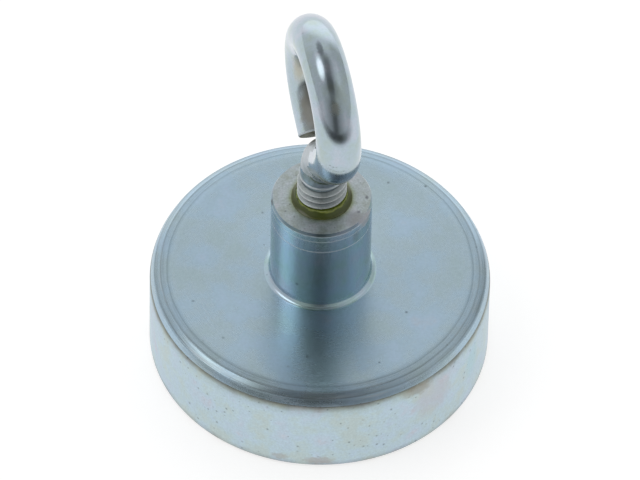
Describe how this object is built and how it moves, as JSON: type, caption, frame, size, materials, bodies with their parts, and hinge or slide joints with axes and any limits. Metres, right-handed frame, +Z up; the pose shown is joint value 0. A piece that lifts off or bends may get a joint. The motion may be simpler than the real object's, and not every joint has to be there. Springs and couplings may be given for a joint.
{
  "type": "pot magnet",
  "caption": "Round steel pot magnet with a raised threaded boss and a nearly closed bent wire hook screwed into it and locked in place.",
  "frame": {"origin": "centre of the round holding face under the pot", "axes": "+Z up the pot's axis through the boss and the hook's stem; the hook bends forward towards -Y and its tip comes back round at +Y"},
  "size_m": [0.02, 0.02, 0.0268],
  "materials": {
    "zinc_plated_pot": "turned, zinc plated with a clear blue passivation",
    "hard_ferrite": "ground charcoal ceramic",
    "cast_resin": "matt dark grey cast resin",
    "zinc_plated_wire": "bright zinc plated wire",
    "thread_locker": "glossy olive green cured adhesive"
  },
  "bodies": {
    "root": {"pot_body": "zinc_plated_pot", "magnet_disc": "hard_ferrite", "filler_ring": "cast_resin", "screw_hook": "zinc_plated_wire", "thread_locker": "thread_locker"}
  },
  "joints": []
}
